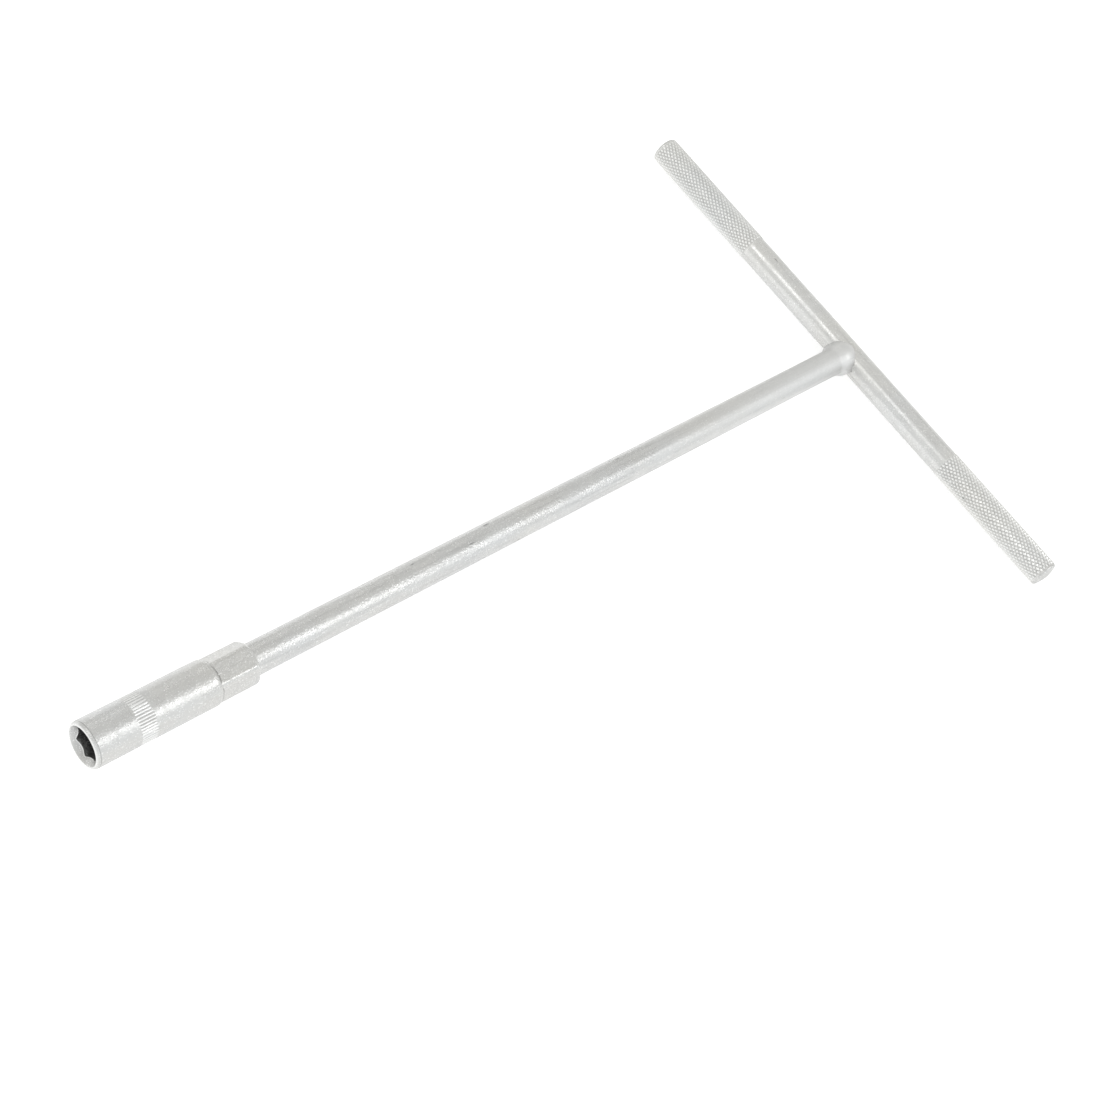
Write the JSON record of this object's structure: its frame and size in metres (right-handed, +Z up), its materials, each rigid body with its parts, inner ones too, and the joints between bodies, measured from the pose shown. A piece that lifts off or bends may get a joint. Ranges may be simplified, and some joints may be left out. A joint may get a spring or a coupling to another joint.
{
  "type": "t-handle socket wrench",
  "caption": "T-handle hexagon socket wrench: socket with hexagon collar on a long round shaft, welded to a crossbar with knurled grips, for turning small nuts and bolts.",
  "frame": {"origin": "centre of the socket's mouth, on the shaft's axis", "axes": "+X from the mouth along the shaft to the crossbar, Y along the crossbar, +Z up with the tool lying flat"},
  "size_m": [0.302, 0.195, 0.013],
  "materials": {
    "socket_plating": "satin nickel-chrome plating over a machined surface with straight serrations, fine grain",
    "shaft_plating": "satin nickel-chrome plating over drawn and forged bar, fine grain with short dark pits",
    "crossbar_plating": "brighter plating on the plain middle, diamond knurl on the grips"
  },
  "bodies": {
    "root": {"socket": "socket_plating", "shaft": "shaft_plating", "crossbar": "crossbar_plating"}
  },
  "joints": []
}
